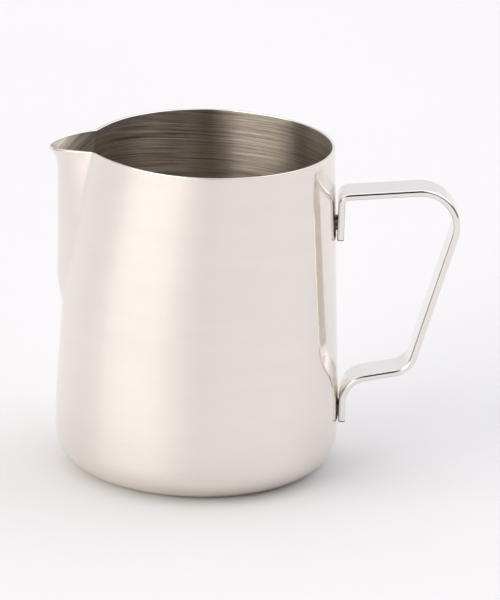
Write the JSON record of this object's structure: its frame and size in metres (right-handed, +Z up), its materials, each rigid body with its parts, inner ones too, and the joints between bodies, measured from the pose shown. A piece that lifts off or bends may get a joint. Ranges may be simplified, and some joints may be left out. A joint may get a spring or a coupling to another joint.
{
  "type": "milk frothing pitcher",
  "caption": "Stainless steel milk frothing pitcher: a tapered drawn cup with a pressed pouring spout and a bent strip handle spot-welded opposite it.",
  "frame": {"origin": "on the cup's axis, in the plane of the flat base", "axes": "+Z up along the cup's axis, +X towards the handle, -X towards the spout, XZ is the plane of symmetry"},
  "size_m": [0.1324, 0.092, 0.1073],
  "materials": {
    "vessel_steel": "mirror-polished stainless steel outside, brushed round the axis inside",
    "handle_steel": "polished stainless steel strip with rounded edges",
    "weld_metal": "fused stainless steel, as welded"
  },
  "bodies": {
    "root": {"vessel": "vessel_steel", "handle": "handle_steel", "upper_weld_nuggets": "weld_metal", "lower_weld_nuggets": "weld_metal"}
  },
  "joints": []
}
